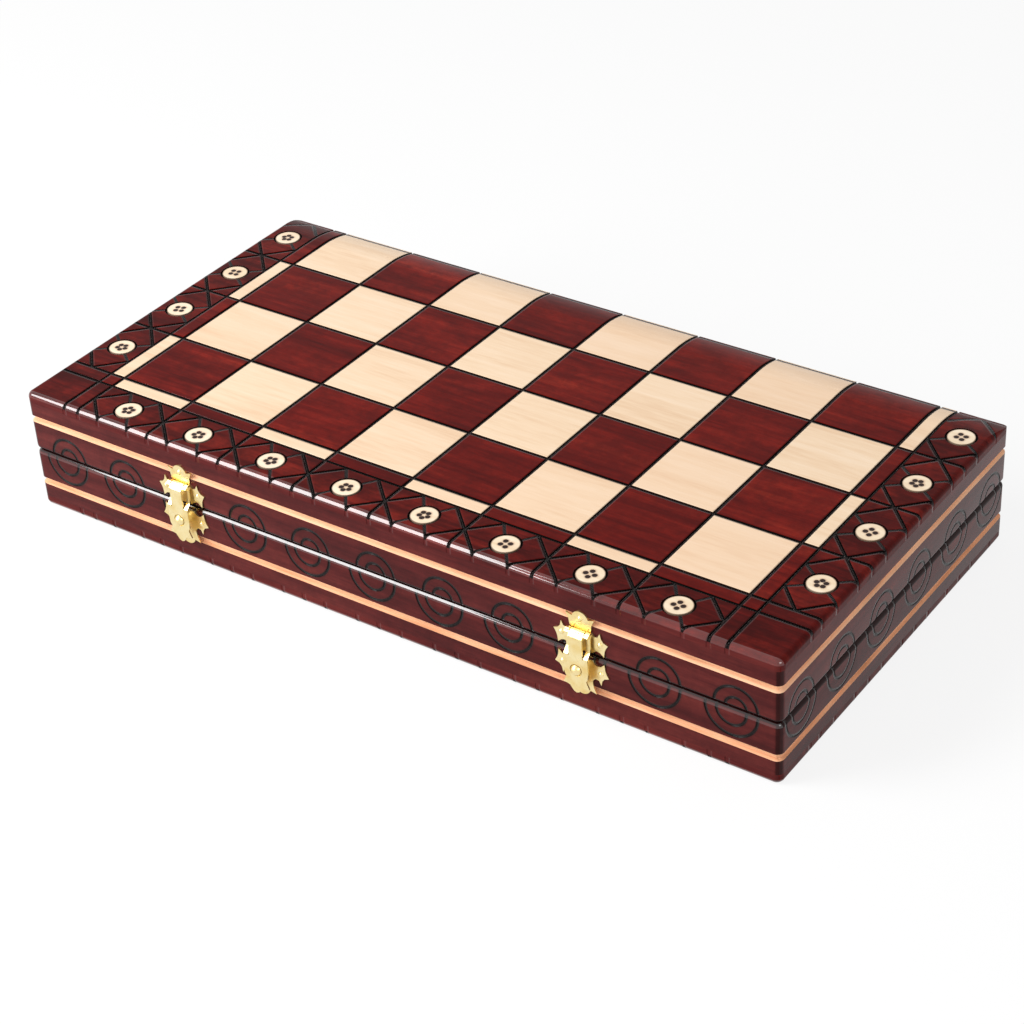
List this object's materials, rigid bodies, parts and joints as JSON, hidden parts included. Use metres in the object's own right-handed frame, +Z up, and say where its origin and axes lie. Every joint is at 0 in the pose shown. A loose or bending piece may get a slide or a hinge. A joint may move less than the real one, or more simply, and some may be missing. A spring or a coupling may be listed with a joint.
{
  "type": "chess box",
  "caption": "Flat folding chess box with a hinged lid: framed halves with carved grooves, board squares on the outer faces, butt hinges at the back and ornate hasps on the front.",
  "frame": {"origin": "centre of the bounding box at the base, on the surface the closed box rests on", "axes": "+X along the long side, to the right seen from the front; +Y from the hasps at the front to the hinges at the back; +Z up"},
  "size_m": [0.478, 0.2518, 0.074],
  "materials": {
    "stained_wood": "gloss lacquer",
    "dark_wood": "gloss lacquer",
    "light_wood": "satin lacquer",
    "felt": "matte",
    "hinge_brass": "satin",
    "latch_brass": "polished"
  },
  "bodies": {
    "lower_half": {"lower_front_rail": "stained_wood", "lower_back_rail": "stained_wood", "lower_left_rail": "stained_wood", "lower_right_rail": "stained_wood", "lower_board": "stained_wood", "lower_dark_squares": "dark_wood", "lower_light_squares": "light_wood", "lower_dark_cells": "dark_wood", "lower_light_cells": "light_wood", "lower_rosettes": "light_wood", "lower_lining": "felt", "lower_hinge_leaves": "hinge_brass", "lower_hinge_screws": "hinge_brass", "latch_lower_plates": "latch_brass", "latch_lower_nails": "latch_brass", "latch_studs": "latch_brass"},
    "lid": {"lid_front_rail": "stained_wood", "lid_back_rail": "stained_wood", "lid_left_rail": "stained_wood", "lid_right_rail": "stained_wood", "lid_board": "stained_wood", "lid_dark_squares": "dark_wood", "lid_light_squares": "light_wood", "lid_dark_cells": "dark_wood", "lid_light_cells": "light_wood", "lid_rosettes": "light_wood", "lid_lining": "felt", "lid_hinge_leaves": "hinge_brass", "lid_hinge_screws": "hinge_brass", "hinge_pins": "hinge_brass", "latch_upper_plates": "latch_brass", "latch_upper_nails": "latch_brass", "latch_pins": "latch_brass"},
    "left_hasp": {"left_hasp": "latch_brass"},
    "right_hasp": {"right_hasp": "latch_brass"}
  },
  "joints": [
    {"name": "lid_hinge", "type": "hinge", "parent": "lower_half", "child": "lid", "pos_m": [0, 0.12347, 0.037], "axis": [-1, 0, 0], "range_deg": [0, 180]},
    {"name": "left_hasp_hinge", "type": "hinge", "parent": "lid", "child": "left_hasp", "pos_m": [-0.1281, -0.12033, 0.0508], "axis": [-1, 0, 0], "range_deg": [0, 115]},
    {"name": "right_hasp_hinge", "type": "hinge", "parent": "lid", "child": "right_hasp", "pos_m": [0.1281, -0.12033, 0.0508], "axis": [-1, 0, 0], "range_deg": [0, 115]}
  ]
}
